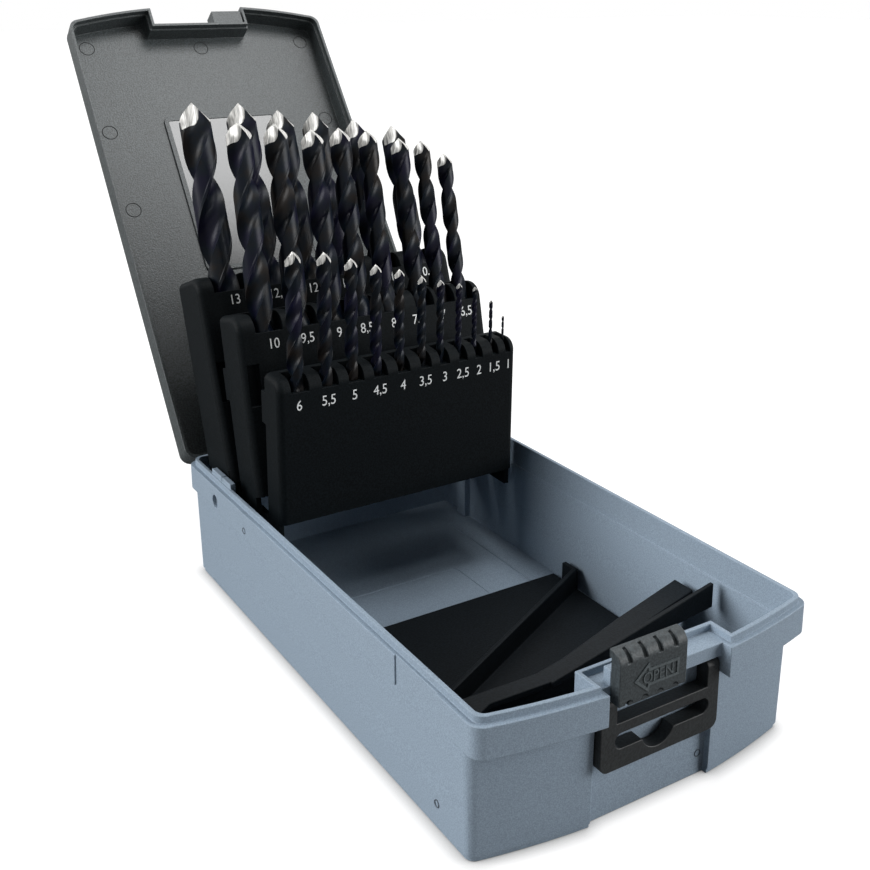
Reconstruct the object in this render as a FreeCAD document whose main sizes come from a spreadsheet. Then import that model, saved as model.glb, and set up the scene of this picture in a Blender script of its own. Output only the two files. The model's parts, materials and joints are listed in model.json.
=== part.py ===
import FreeCAD, Part
import math
import os
import Sketcher

# Drill bit case: an open tub with a hinged lid, three pivoting racks that hold
# twenty-five twist drills, a tip guard, a sliding latch and a hanging loop.
# Origin at the middle of the underside, +X right, +Y to the hinge, +Z up.

Vector = FreeCAD.Vector
doc = FreeCAD.newDocument("DrillBitCase")
sheet = doc.addObject("Spreadsheet::Sheet", "size")

# Driving sizes of each piece, in millimetres and degrees
sizes = {
    "all": {"overrun": 5.0, "free_gap": 0.3, "fit_gap": 0.05},
    "tub": {"case_width": 126.0, "case_length": 213.0, "front_bow": 7.8, "corner_radius": 4.6,
        "collar_top": 47.2, "collar_height": 9.95, "body_inset": 1.6, "body_wall": 2.0,
        "front_step": 4.3, "draft_angle": 1.17, "floor_thickness": 2.5, "plinth_height": 1.5,
        "plinth_step": 0.5},
    "tongue": {"tongue_inset": 1.7, "tongue_wall": 1.4, "tongue_rise": 2.3},
    "bay": {"bay_half_width": 22.9, "bay_depth": 9.9, "rail_height": 4.4, "rail_reach": 5.2},
    "stops": {"stop_inset": 0.2, "stop_width": 3.1, "stop_depth": 3.1, "stop_rise": 4.8,
        "low_stop_width": 2.2, "low_stop_rise": 1.6},
    "finger recess": {"finger_place": 27.5, "finger_length": 22.8, "finger_depth": 0.6},
    "floor lines": {"floor_line_inset": 16.5, "floor_line_width": 0.7, "floor_line_depth": 0.3,
        "floor_line_margin": 18.3, "floor_line_rear_margin": 28.5, "label_panel_half": 26.9,
        "label_panel_back": 43.9, "label_panel_front": -40.0, "label_panel_radius": 3.0},
    "lid": {"lid_height": 12.6, "lid_top": 2.1, "lid_wall": 2.0, "lid_lip_wall": 1.3,
        "lid_lip_rise": 2.7, "lid_edge_radius": 3.6, "lid_open_angle": 126.67, "seam_gap": 0.3},
    "catch": {"catch_gap": 2.75, "catch_width": 14.95, "catch_rise": 0.8, "catch_height": 7.5,
        "catch_reach": 6.8},
    "lid hinge": {"hinge_rise": 0.8, "knuckle_radius": 2.2, "knuckle_width": 7.4,
        "hinge_inset": 25.0, "lid_pin_radius": 0.9},
    "label": {"label_half_width": 28.3, "label_near": 85.0, "label_far": 165.4,
        "label_thickness": 0.5, "frame_thickness": 0.8, "frame_width": 2.2, "label_corner": 3.0,
        "sheet_corner": 0.5},
    "rack pivot": {"pivot_back": 29.3, "pivot_drop": 6.2, "rack_pin_radius": 2.0,
        "boss_radius": 5.0, "pin_head_depth": 1.5, "pin_hole_radius": 2.6},
    "support post": {"post_place": 17.2, "post_length": 6.7, "post_depth": 3.0, "post_height": 18.5},
    "snap hooks": {"hook_ahead": 10.9, "hook_offset": 2.2, "hook_behind": 8.0, "hook_split": 0.5,
        "hook_thickness": 1.5, "hook_drop": 3.2, "hook_rise": 4.3},
    "large rack": {"large_inset": 5.53, "large_lean": 19.26, "large_front": -6.2,
        "large_thickness": 21.8, "large_low": 3.5, "large_top": 87.3, "large_lip": 80.2,
        "large_hole_depth": 8.4, "large_round": 6.9},
    "medium rack": {"medium_inset": 3.01, "medium_lean": 12.0, "medium_front": -24.5,
        "medium_thickness": 17.2, "medium_low": 3.0, "medium_top": 71.8, "medium_lip": 64.6,
        "medium_hole_depth": 6.3, "medium_round": 6.8},
    "small rack": {"small_inset": 2.72, "small_lean": -1.41, "small_front": -37.8,
        "small_thickness": 12.0, "small_low": 2.6, "small_top": 59.0, "small_lip": 53.7,
        "small_hole_depth": 4.1, "small_round": 5.1},
    "racks": {"ear_thickness": 2.1, "eye_radius": 5.0, "arm_top": 1.8, "arm_low": -5.0,
        "eye_notch_top": 6.0, "eye_notch_width": 8.47, "rack_side_radius": 2.6, "rear_bar": 2.2,
        "socket_gap": 0.15, "seat_gap": 0.6},
    "rack stops": {"knuckle_low": 39.0, "knuckle_high": 51.5, "knuckle_reach": 3.2,
        "knuckle_span": 3.6, "pocket_gap": 0.6, "pocket_room": 1.6},
    "tip guard": {"guard_side_gap": 6.3, "guard_front_gap": 17.4, "guard_rear_gap": 90.1,
        "guard_sheet": 1.4, "rib_rise": 10.1, "rib_wall": 2.0, "flange_drop": 14.1,
        "flange_sheet": 2.0, "blade_wall": 1.6, "blade_rise": 6.8, "tab_inset": 15.8,
        "tab_length": 7.9},
    "latch": {"latch_inset": 2.7, "latch_width": 24.8, "latch_set_back": 0.4, "latch_drop": 0.2,
        "latch_rise": 11.7, "latch_depth": 4.9, "latch_wall": 2.3, "latch_plate": 2.7,
        "latch_round": 4.0, "grip_first": 3.7, "grip_pitch": 5.6, "grip_width": 1.3,
        "grip_depth": 0.8, "grip_length": 3.6, "grip_reach": 3.6, "tooth_radius": 1.3, "claw_inset": 4.45,
        "claw_width": 18.9, "claw_thickness": 1.3, "claw_reach": 2.3, "hook_inset": 3.7,
        "hook_width": 8.5, "hook_height": 1.8, "latch_travel": 10.0},
    "hanger": {"hanger_side_gap": 0.4, "hanger_thickness": 4.9, "hanger_height": 23.9,
        "hanger_axis_drop": 3.0, "hanger_eye": 2.4, "foot_radius": 3.0, "window_left_bar": 5.7,
        "window_right_bar": 4.65, "window_height": 8.9, "slot_left_bar": 5.2, "slot_right_bar": 3.9,
        "slot_drop": 17.4, "slot_height": 5.05, "lobe_offset": 7.35, "lobe_width": 12.6,
        "lobe_drop": 4.2, "stub_radius": 1.5, "stub_length": 1.9},
    "twist drills": {"helix_angle": 30.0, "point_share": 0.25, "web_share": 0.17,
        "chisel_share": 0.12, "land_angle": 40.0, "turn_step": 24.0},
}

# Places that follow from the sizes above: what fits another piece, or stands on
# it, is measured from that piece
places = {
    "case_front": "-(case_length / 2 + front_bow)", "case_back": "case_length / 2",
    "collar_bottom": "collar_top - collar_height", "rail_low": "collar_top - rail_height",
    "finger_front": "case_front + finger_place", "finger_back": "finger_front + finger_length",
    "floor_line_place": "case_width / 2 - floor_line_inset",
    "floor_line_front": "case_front + floor_line_margin",
    "floor_line_back": "case_back - floor_line_rear_margin",
    "hinge_height": "collar_top + hinge_rise", "hinge_place": "case_width / 2 - hinge_inset",
    "pivot_place": "case_back - pivot_back", "pivot_height": "collar_top - pivot_drop",
    "post_back": "case_back - post_place", "post_front": "post_back - post_length",
    "post_top": "floor_thickness + post_height",
    "hook_front": "pivot_place - hook_ahead", "hook_middle": "pivot_place - hook_offset",
    "hook_back": "pivot_place + hook_behind", "hook_low": "collar_top - hook_drop",
    "hook_high": "collar_top + hook_rise",
    "large_half": "case_width / 2 - large_inset", "medium_half": "large_half - medium_inset",
    "small_half": "medium_half - small_inset", "eye_notch_inner": "large_half - eye_notch_width",
    "guard_half": "case_width / 2 - guard_side_gap", "guard_front": "case_front + guard_front_gap",
    "guard_back": "case_back - guard_rear_gap", "flange_top": "collar_top - flange_drop",
    "blade_top": "flange_top + blade_rise", "tab_front": "guard_back - tab_inset",
    "tab_top_back": "tab_front + tab_length",
    "latch_left": "latch_inset - bay_half_width", "latch_right": "latch_left + latch_width",
    "latch_front": "case_front + latch_set_back", "latch_back": "latch_front + latch_depth",
    "latch_low": "rail_low - latch_drop", "latch_top": "collar_top + latch_rise",
    "grip_low": "latch_top - grip_length", "stop_left": "latch_left + stop_inset",
    "claw_left": "latch_left + claw_inset", "claw_right": "claw_left + claw_width",
    "hook_start": "latch_left + hook_inset", "hook_end": "hook_start + hook_width",
    "catch_left": "latch_right + catch_gap", "catch_right": "catch_left + catch_width",
    "catch_low": "collar_top + catch_rise", "catch_high": "catch_low + catch_height",
    "hanger_half": "bay_half_width - hanger_side_gap", "hanger_low": "rail_low - hanger_height",
    "window_left": "window_left_bar - hanger_half", "window_right": "hanger_half - window_right_bar",
    "window_low": "rail_low - window_height",
    "slot_left": "slot_left_bar - hanger_half", "slot_right": "hanger_half - slot_right_bar",
    "slot_low": "rail_low - slot_drop", "slot_high": "slot_low + slot_height",
    "lobe_left": "-lobe_offset", "lobe_right": "lobe_width - lobe_offset",
    "lobe_low": "slot_low - lobe_drop",
}

# Twist drills by rack: diameter, whole length, fluted length, height of the
# socket floor over the pivot, and place as a share of the rack's half width
bits = {
    "large": [(13.0, 151.0, 101.0, 7.1), (12.5, 151.0, 101.0, 5.9), (12.0, 147.8, 98.0, 5.2),
              (11.5, 142.0, 94.0, 9.2), (11.0, 142.0, 94.0, 5.0), (10.5, 133.0, 87.0, 10.1)],
    "medium": [(10.0, 133.0, 87.0, 11.0), (9.5, 125.0, 81.0, 17.6), (9.0, 125.0, 81.0, 14.4),
               (8.5, 117.0, 75.0, 22.2), (8.0, 117.0, 75.0, 20.4), (7.5, 109.0, 69.0, 24.3),
               (7.0, 109.0, 69.0, 22.6), (6.5, 101.0, 63.0, 24.6)],
    "small": [(6.0, 93.0, 57.0, 12.1), (5.5, 93.0, 57.0, 10.4), (5.0, 86.0, 52.0, 13.8),
              (4.5, 80.0, 47.0, 16.2), (4.0, 75.0, 43.0, 18.1), (3.5, 70.0, 39.0, 19.1),
              (3.0, 61.0, 33.0, 25.5), (2.5, 57.0, 30.0, 27.0), (2.0, 49.0, 24.0, 32.6),
              (1.5, 40.0, 18.0, 35.1), (1.0, 34.0, 12.0, 33.9)],
}
place_shares = {
    "large": (-0.760, -0.416, -0.124, 0.153, 0.474, 0.791),
    "medium": (-0.765, -0.492, -0.214, 0.006, 0.229, 0.492, 0.679, 0.868),
    "small": (-0.831, -0.597, -0.388, -0.189, 0.005, 0.194, 0.356, 0.519, 0.661, 0.811, 0.925),
}


def bit_name(diameter):
    """The name of a drill, such as bit_12_5 for 12.5 mm."""
    return "bit_%04.1f" % diameter


for rack_bits in bits.values():
    for diameter, length, flute, seat in rack_bits:
        stem = bit_name(diameter).replace(".", "_")
        sizes[stem] = {stem + "_diameter": diameter, stem + "_length": length,
                       stem + "_flute": flute, stem + "_seat": seat}
row = 0
for piece, named in sizes.items():
    for name, value in named.items():
        row += 1
        sheet.set("A%d" % row, piece)
        sheet.set("B%d" % row, str(value))
        sheet.setAlias("B%d" % row, name)
doc.recompute()


def rule(text):
    """Turns words that are names of sizes into references to the sheet."""
    out = []
    word = ""
    for letter in text + " ":
        if letter.isalnum() or letter == "_":
            word += letter
            continue
        if word and word[0].isalpha() and word != "tan":
            word = ("place." if word in places else "size.") + word
        out.append(word + letter)
        word = ""
    return "".join(out).strip()


place = doc.addObject("App::FeaturePython", "place")
for name in places:
    place.addProperty("App::PropertyFloat", name)
for name, text in places.items():
    place.setExpression(name, rule(text))
doc.recompute()


def mm(name):
    """Reads one named size or place."""
    return float(getattr(place, name) if name in places else sheet.get(name))


def box(name, left, right, front, back, low, high):
    """A block between six planes, each written as a rule of named sizes."""
    block = doc.addObject("Part::Box", name)
    block.setExpression("Length", rule("(%s) - (%s)" % (right, left)))
    block.setExpression("Width", rule("(%s) - (%s)" % (back, front)))
    block.setExpression("Height", rule("(%s) - (%s)" % (high, low)))
    block.setExpression("Placement.Base.x", rule(left))
    block.setExpression("Placement.Base.y", rule(front))
    block.setExpression("Placement.Base.z", rule(low))
    return block


TURNS = {"X": FreeCAD.Rotation(Vector(0, 1, 0), 90), "Y": FreeCAD.Rotation(Vector(1, 0, 0), -90),
         "Z": FreeCAD.Rotation()}


def rod(name, radius, start, end, first, second, along="X"):
    """A cylinder along an axis from start to end, at two other coordinates."""
    item = doc.addObject("Part::Cylinder", name)
    item.Placement = FreeCAD.Placement(Vector(), TURNS[along])
    item.setExpression("Radius", rule(radius))
    item.setExpression("Height", rule("(%s) - (%s)" % (end, start)))
    base = [first, second]
    base.insert("XYZ".index(along), start)
    for letter, text in zip("xyz", base):
        item.setExpression("Placement.Base." + letter, rule(text))
    return item


def fuse(name, *items):
    """Joins solids into one."""
    item = doc.addObject("Part::MultiFuse", name)
    item.Shapes = list(items)
    item.Refine = True
    return item


def cut(name, base, *tools):
    """Takes tools away from a solid."""
    tool = tools[0] if len(tools) == 1 else fuse(name + "_tools", *tools)
    item = doc.addObject("Part::Cut", name)
    item.Base = base
    item.Tool = tool
    return item


def common(name, first, second):
    """Keeps what two solids share."""
    item = doc.addObject("Part::Common", name)
    item.Base = first
    item.Tool = second
    return item


def rounded(name, base, radius, chosen):
    """Rounds the edges of a solid whose middle points the test accepts."""
    doc.recompute()
    edges = []
    for number, edge in enumerate(base.Shape.Edges, 1):
        middle = edge.valueAt((edge.FirstParameter + edge.LastParameter) / 2)
        if chosen(middle, edge):
            edges.append((number, mm(radius), mm(radius)))
    item = doc.addObject("Part::Fillet", name)
    item.Base = base
    item.Edges = edges
    return item


BAY_FACE = "case_front + bay_depth"
BOW_RADIUS = "((case_width / 2) * (case_width / 2) + front_bow * front_bow) / (2 * front_bow)"


def outline(name, inset, level, shift="0"):
    """The case's plan view, drawn in by an inset: straight sides and back, bowed front.
    The whole outline can be moved towards the back."""
    bow = (mm("case_width") ** 2 / 4 + mm("front_bow") ** 2) / (2 * mm("front_bow"))
    sketch = doc.addObject("Sketcher::SketchObject", name)
    holder = doc.addObject("App::FeaturePython", name + "_inset")
    holder.addProperty("App::PropertyFloat", "Inset")
    holder.setExpression("Inset", rule(inset))
    doc.recompute()
    drawn_in = holder.Inset
    side = mm("case_width") / 2 - drawn_in
    back = mm("case_length") / 2 - drawn_in
    corner = max(mm("corner_radius") - drawn_in / 2, drawn_in / 8)
    centre = bow - mm("case_length") / 2 - mm("front_bow")
    radius = bow - drawn_in
    low = centre - math.sqrt((radius - corner) ** 2 - (side - corner) ** 2)
    half_arc = math.asin((side - corner) / (radius - corner))
    quarter = math.pi / 2
    up = Vector(0, 0, 1)
    sketch.addGeometry([
        Part.LineSegment(Vector(side, low, 0), Vector(side, back - corner, 0)),
        Part.ArcOfCircle(Part.Circle(Vector(side - corner, back - corner, 0), up, corner), 0, quarter),
        Part.LineSegment(Vector(side - corner, back, 0), Vector(corner - side, back, 0)),
        Part.ArcOfCircle(Part.Circle(Vector(corner - side, back - corner, 0), up, corner),
                         quarter, 2 * quarter),
        Part.LineSegment(Vector(-side, back - corner, 0), Vector(-side, low, 0)),
        Part.ArcOfCircle(Part.Circle(Vector(corner - side, low, 0), up, corner),
                         2 * quarter, 3 * quarter - half_arc),
        Part.ArcOfCircle(Part.Circle(Vector(0, centre, 0), up, radius),
                         3 * quarter - half_arc, 3 * quarter + half_arc),
        Part.ArcOfCircle(Part.Circle(Vector(side - corner, low, 0), up, corner),
                         3 * quarter + half_arc, 4 * quarter)], False)
    Limit = Sketcher.Constraint
    sketch.addConstraint([Limit("Tangent", i, 2, (i + 1) % 8, 1) for i in range(8)])
    sketch.addConstraint([Limit("Vertical", 0), Limit("Vertical", 4), Limit("Horizontal", 2)])
    sketch.addConstraint([Limit("Equal", 1, i) for i in (3, 5, 7)])
    sketch.addConstraint(Limit("PointOnObject", 6, 3, -2))
    named = {
        "corner": (Limit("Radius", 1, corner), "corner_radius - (%s) / 2" % inset),
        "bow_radius": (Limit("Radius", 6, radius), "%s - (%s)" % (BOW_RADIUS, inset)),
        "bow_centre": (Limit("DistanceY", -1, 1, 6, 3, centre), BOW_RADIUS + " + case_front"),
        "right": (Limit("DistanceX", -1, 1, 0, 1, side), "case_width / 2 - (%s)" % inset),
        "left": (Limit("DistanceX", 4, 1, -1, 1, side), "case_width / 2 - (%s)" % inset),
        "back": (Limit("DistanceY", -1, 1, 2, 1, back), "case_length / 2 - (%s)" % inset)}
    for key, (limit, text) in named.items():
        sketch.renameConstraint(sketch.addConstraint(limit), key)
        sketch.setExpression("Constraints." + key, rule(text))
    sketch.setExpression("Placement.Base.y", rule(shift))
    sketch.setExpression("Placement.Base.z", rule(level))
    return sketch


def prism(name, inset, low, high, taper=None, shift="0"):
    """The outline raised between two levels, or drawn in downwards by a draft."""
    item = doc.addObject("Part::Extrusion", name)
    item.Base = outline(name + "_outline", inset, high, shift)
    item.DirMode = "Custom"
    item.Dir = Vector(0, 0, -1)
    item.Solid = True
    item.setExpression("LengthFwd", rule("(%s) - (%s)" % (high, low)))
    if taper:
        item.setExpression("TaperAngle", rule("-" + taper))
    return item


def stepped(name, inset, low, high, taper=None):
    """A prism with its front set back under the collar: what it shares with itself
    moved towards the back by the step."""
    return common(name, prism(name + "_near", inset, low, high, taper),
                  prism(name + "_far", inset, low, high, taper, "front_step"))


def bay_block(name, grow, low, high):
    """The block of the front bay, larger by a margin at the sides and the back."""
    return box(name, "-bay_half_width - (%s)" % grow, "bay_half_width + (%s)" % grow,
               "case_front - overrun", BAY_FACE + " + (%s)" % grow, low, high)


# Tub: drafted walls, a wider collar with a tongue round its top, and a bay
# in the bowed front for the latch and the hanging loop
RIM = "(tongue_inset + tongue_wall)"
TONGUE_TOP = "collar_top + tongue_rise"
LEDGE = "collar_bottom + body_wall"
outside = fuse("tub_outside",
               prism("tub_collar", "0", "collar_bottom", "collar_top"),
               stepped("tub_walls", "body_inset", "plinth_height", "collar_bottom", "draft_angle"),
               stepped("tub_plinth", "body_inset + plinth_step + collar_bottom * tan(draft_angle)",
                       "0", "plinth_height"),
               prism("tub_tongue", "tongue_inset", "collar_top", TONGUE_TOP))
hollow = fuse("tub_hollow",
              prism("tub_rim_hollow", RIM, LEDGE, TONGUE_TOP + " + overrun"),
              stepped("tub_wall_hollow", "body_inset + body_wall", "floor_thickness", LEDGE,
                      "draft_angle"))
hollow = cut("tub_room", hollow, bay_block("bay_wall", RIM, "0", TONGUE_TOP + " + 2 * overrun"))
tub_cuts = [hollow,
            bay_block("bay_room", "0", "-overrun", TONGUE_TOP + " + overrun"),
            bay_block("bay_tongue_step", "tongue_inset", "collar_top", TONGUE_TOP + " + overrun")]

# Lines and the sunk panel in the floor
for side, sign in (("left", "-1"), ("right", "1")):
    middle = "%s * floor_line_place" % sign
    tub_cuts.append(box("floor_line_" + side, middle + " - floor_line_width / 2",
                        middle + " + floor_line_width / 2", "floor_line_front", "floor_line_back",
                        "floor_thickness - floor_line_depth", "floor_thickness + free_gap"))
panel = box("label_panel_block", "-label_panel_half", "label_panel_half", "label_panel_front",
            "label_panel_back", "floor_thickness - floor_line_depth", "floor_thickness + free_gap")
tub_cuts.append(rounded("label_panel", panel, "label_panel_radius",
                        lambda point, edge: abs(edge.tangentAt(edge.FirstParameter).z) > 0.5))

# Shallow finger recesses in the collar, and the pivot holes with their bosses
INNER = "case_width / 2 - body_inset - body_wall"
tub_joins = []
for side, sign in (("left", -1), ("right", 1)):
    ends = ("case_width / 2 - finger_depth", "case_width / 2 + overrun")
    if sign < 0:
        ends = tuple("-(%s)" % end for end in reversed(ends))
    tub_cuts.append(box("finger_recess_" + side, ends[0], ends[1], "finger_front", "finger_back",
                        "collar_bottom - overrun", "collar_top + overrun"))


def sided(sign, near, far):
    """A span of X on the left or right side, from its nearer and farther distances."""
    if sign > 0:
        return near, far
    return "-(%s)" % far, "-(%s)" % near


BOSS = "large_half + free_gap"
PIN_END = "case_width / 2 - pin_head_depth"
for side, sign in (("left", -1), ("right", 1)):
    start, end = sided(sign, BOSS, "case_width / 2 - tongue_inset")
    tub_joins.append(rod("boss_" + side, "boss_radius", start, end, "pivot_place", "pivot_height"))
    start, end = sided(sign, BOSS + " - overrun", PIN_END)
    tub_cuts.append(rod("pin_hole_" + side, "rack_pin_radius", start, end, "pivot_place", "pivot_height"))
    start, end = sided(sign, PIN_END, "case_width / 2 + overrun")
    tub_cuts.append(rod("pin_recess_" + side, "pin_hole_radius", start, end, "pivot_place", "pivot_height"))
    start, end = sided(sign, INNER + " - post_depth", INNER + " + body_wall / 2")
    tub_joins.append(box("post_" + side, start, end, "post_front", "post_back", "floor_thickness / 2",
                         "post_top"))
    start, end = sided(sign, "case_width / 2 - %s - hook_thickness" % RIM,
                       "case_width / 2 - tongue_inset - tongue_wall / 2")
    tub_joins.append(box("hook_front_" + side, start, end, "hook_front", "hook_middle - hook_split / 2",
                         "hook_low", "hook_high"))
    tub_joins.append(box("hook_back_" + side, start, end, "hook_middle + hook_split / 2", "hook_back",
                         "hook_low", "hook_high"))

# Rail that the latch slides on, its two end stops, and the hanger's bearings
RAIL_FACE = BAY_FACE + " - rail_reach"
tub_joins.append(box("rail", "-bay_half_width - tongue_inset", "bay_half_width + tongue_inset",
                     RAIL_FACE, BAY_FACE + " + tongue_inset / 2", "rail_low", "collar_top"))
tub_joins.append(box("left_stop", "stop_left", "stop_left + stop_width", RAIL_FACE,
                     RAIL_FACE + " + stop_depth", "rail_low", "collar_top + stop_rise"))
LOW_STOP = "hook_end + latch_travel + free_gap"
tub_joins.append(box("right_stop", LOW_STOP, LOW_STOP + " + low_stop_width", RAIL_FACE,
                     RAIL_FACE + " + stop_depth", "rail_low", "collar_top + low_stop_rise"))
HANGER_Z = "rail_low - hanger_axis_drop"
HANGER_Y = BAY_FACE + " - free_gap - hanger_thickness / 2"
bearings = []
for side, sign in (("left", -1), ("right", 1)):
    start, end = sided(sign, "bay_half_width - overrun", "hanger_half + stub_length + free_gap")
    bearings.append(rod("bearing_" + side, "stub_radius + fit_gap", start, end, HANGER_Y, HANGER_Z))

# Lid hinge: two knuckles of the tub with one of the lid between, on each side
KNUCKLE_GAP = "knuckle_width / 2 + free_gap"
tub_knuckles = []
lid_knuckles = []
tub_reliefs = []
lid_reliefs = []
for side, sign in (("left", -1), ("right", 1)):
    middle = "%d * hinge_place" % sign
    tub_reliefs.append(rod("lid_relief_" + side, "knuckle_radius + free_gap",
                           middle + " - knuckle_width / 2 - free_gap",
                           middle + " + knuckle_width / 2 + free_gap", "case_back", "hinge_height"))
    lid_knuckles.append(rod("lid_knuckle_" + side, "knuckle_radius", middle + " - knuckle_width / 2",
                            middle + " + knuckle_width / 2", "case_back", "hinge_height"))
    for end, step in (("inner", "- 1"), ("outer", "+ 1")):
        near = middle + " %s * (knuckle_width + free_gap)" % step
        tub_knuckles.append(rod("tub_knuckle_%s_%s" % (end, side), "knuckle_radius",
                                near + " - knuckle_width / 2", near + " + knuckle_width / 2",
                                "case_back", "hinge_height"))
        lid_reliefs.append(rod("tub_relief_%s_%s" % (end, side), "knuckle_radius + free_gap",
                               near + " - knuckle_width / 2 - free_gap",
                               near + " + knuckle_width / 2 + free_gap", "case_back", "hinge_height"))


def hinge_bores(name, gap):
    """The two bores for the lid's pins, wider than the pins by a gap."""
    reach = "(1.5 * knuckle_width + free_gap + overrun)"
    return [rod("%s_%s" % (name, side), "lid_pin_radius + " + gap,
                "%d * hinge_place - %s" % (sign, reach), "%d * hinge_place + %s" % (sign, reach),
                "case_back", "hinge_height") for side, sign in (("left", -1), ("right", 1))]


tub = cut("tub_shell", outside, *tub_cuts[:3])
tub = fuse("tub_fitted", tub, *tub_joins)
tub = cut("tub_relieved", tub, *(tub_reliefs + tub_cuts[3:] + bearings))
tub = cut("case_tub", fuse("tub_with_knuckles", tub, *tub_knuckles), *hinge_bores("tub_bore", "0"))

# Lid: a shallow shell with the same outline, made shut and turned open
LID_LOW = "collar_top + seam_gap"
LID_TOP = "collar_top + lid_height"
lid_block = prism("lid_block", "0", LID_LOW, LID_TOP)
notched = cut("lid_notched", lid_block, bay_block("lid_bay", "0", "0", LID_TOP + " + overrun"))
lid_outside = rounded("lid_outside", notched, "lid_edge_radius",
                      lambda p, e: p.z > mm("collar_top") + mm("lid_height") - mm("free_gap"))
lid_hollow = cut("lid_hollow",
                 fuse("lid_hollow_blocks",
                      prism("lid_room", "lid_wall", LID_LOW + " - overrun", LID_TOP + " - lid_top"),
                      prism("lid_lip_room", "lid_lip_wall", LID_LOW + " - overrun",
                            LID_LOW + " + lid_lip_rise")),
                 bay_block("lid_bay_wall", "lid_wall", LID_LOW + " + lid_lip_rise", LID_TOP),
                 bay_block("lid_bay_lip", "lid_lip_wall", "0", LID_LOW + " + lid_lip_rise"))
lid = cut("lid_shell", lid_outside, lid_hollow, *lid_reliefs)
catch = box("catch", "catch_left", "catch_right", BAY_FACE + " - catch_reach",
            BAY_FACE + " + lid_wall / 2", "catch_low", "catch_high")
lid = cut("case_lid", fuse("lid_joined", lid, catch, *lid_knuckles),
          *hinge_bores("lid_bore", "fit_gap"))

# Label window in the lid: a raised frame round a thin clear sheet
LABEL_TOP = LID_TOP + " - lid_top"
window = [box("label_block", "-label_half_width", "label_half_width", "case_back - label_far",
              "case_back - label_near", LABEL_TOP + " - frame_thickness", LABEL_TOP),
          box("label_opening", "-label_half_width + frame_width", "label_half_width - frame_width",
              "case_back - label_far + frame_width", "case_back - label_near - frame_width",
              LABEL_TOP + " - frame_thickness - overrun", LABEL_TOP + " + overrun")]


def upright(point, edge):
    """True for edges that stand up."""
    return abs(edge.tangentAt(edge.FirstParameter).z) > 0.5


label_frame = cut("label_frame", rounded("label_round", window[0], "label_corner", upright), window[1])
sheet_block = box("sheet_block", "-label_half_width + frame_width", "label_half_width - frame_width",
                  "case_back - label_far + frame_width", "case_back - label_near - frame_width",
                  LABEL_TOP + " - label_thickness", LABEL_TOP)
label_sheet = rounded("label_sheet", sheet_block, "sheet_corner", upright)

# Pins: two for the lid and two for the racks, fixed in the tub
pins = []
for side, sign in (("left", -1), ("right", 1)):
    reach = "(1.5 * knuckle_width + free_gap)"
    pins.append(rod("lid_pin_" + side, "lid_pin_radius", "%d * hinge_place - %s" % (sign, reach),
                    "%d * hinge_place + %s" % (sign, reach), "case_back", "hinge_height"))
    start, end = sided(sign, "small_half - ear_thickness - free_gap", PIN_END)
    pins.append(rod("rack_pin_" + side, "rack_pin_radius", start, end, "pivot_place", "pivot_height"))


def rack(kind):
    """One rack in its own frame: origin on the pivot, Y to the back, Z up the rack."""
    half, front, low, top = (kind + "_" + word for word in ("half", "front", "low", "top"))
    back = "%s + %s_thickness" % (front, kind)
    block = box(kind + "_block", "-" + half, half, front, back, low, top)
    block = rounded(kind + "_rounded_top", block, kind + "_round",
                    lambda p, e: p.z > mm(top) - mm("free_gap") and p.y < mm(front) + mm("free_gap"))
    block = rounded(kind + "_rounded_ends", block, "rack_side_radius",
                    lambda p, e: abs(e.tangentAt(e.FirstParameter).z) > 0.9
                    and abs(p.x) > mm(half) - mm("free_gap") and p.y < mm(front) + mm("free_gap"))
    ears = []
    tools = []
    for side, sign in (("left", -1), ("right", 1)):
        start, end = sided(sign, half + " - ear_thickness", half)
        eye = rod("%s_eye_%s" % (kind, side), "eye_radius", start, end, "0", "0")
        ears.append(eye)
        if kind == "large":
            ears.append(box("large_ear_" + side, start, end, "-eye_radius", "eye_radius", "0",
                            "eye_notch_top + overrun"))
            start, end = sided(sign, "eye_notch_inner", half + " - ear_thickness")
            tools.append(box("large_notch_" + side, start, end, front + " - overrun",
                             "eye_radius + free_gap + overrun", low + " - overrun", "eye_notch_top"))
        else:
            ears.append(box("%s_arm_%s" % (kind, side), start, end, front + " + rack_side_radius",
                            "0", "arm_low", "arm_top"))
            ears.append(box("%s_root_%s" % (kind, side), start, end, front + " + rack_side_radius",
                            back, "arm_low", low + " + overrun"))
        start, end = sided(sign, half + " - ear_thickness - overrun", half + " + overrun")
        tools.append(rod("%s_eye_hole_%s" % (kind, side), "rack_pin_radius + fit_gap", start, end,
                         "0", "0"))
    axis = "%s + %s_hole_depth" % (front, kind)
    for number, share in enumerate(place_shares[kind]):
        stem = bit_name(bits[kind][number][0]).replace(".", "_")
        across = "%s * %s" % (share, half)
        tools.append(rod(stem + "_socket", stem + "_diameter / 2 + socket_gap", stem + "_seat",
                         top + " + overrun", across, axis, along="Z"))
        tools.append(box(stem + "_seat", across + " - %s_diameter / 2 - seat_gap" % stem,
                         across + " + %s_diameter / 2 + seat_gap" % stem, front + " - overrun",
                         back + " - rear_bar", kind + "_lip", top + " + overrun"))
    return fuse(kind + "_solid", block, *ears), tools


def placed(item, kind):
    """Leans a piece of a rack and sets it on the common pivot."""
    item.Placement = FreeCAD.Placement(
        Vector(0, mm("pivot_place"), mm("pivot_height")),
        FreeCAD.Rotation(Vector(1, 0, 0), -mm(kind + "_lean")))


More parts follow.
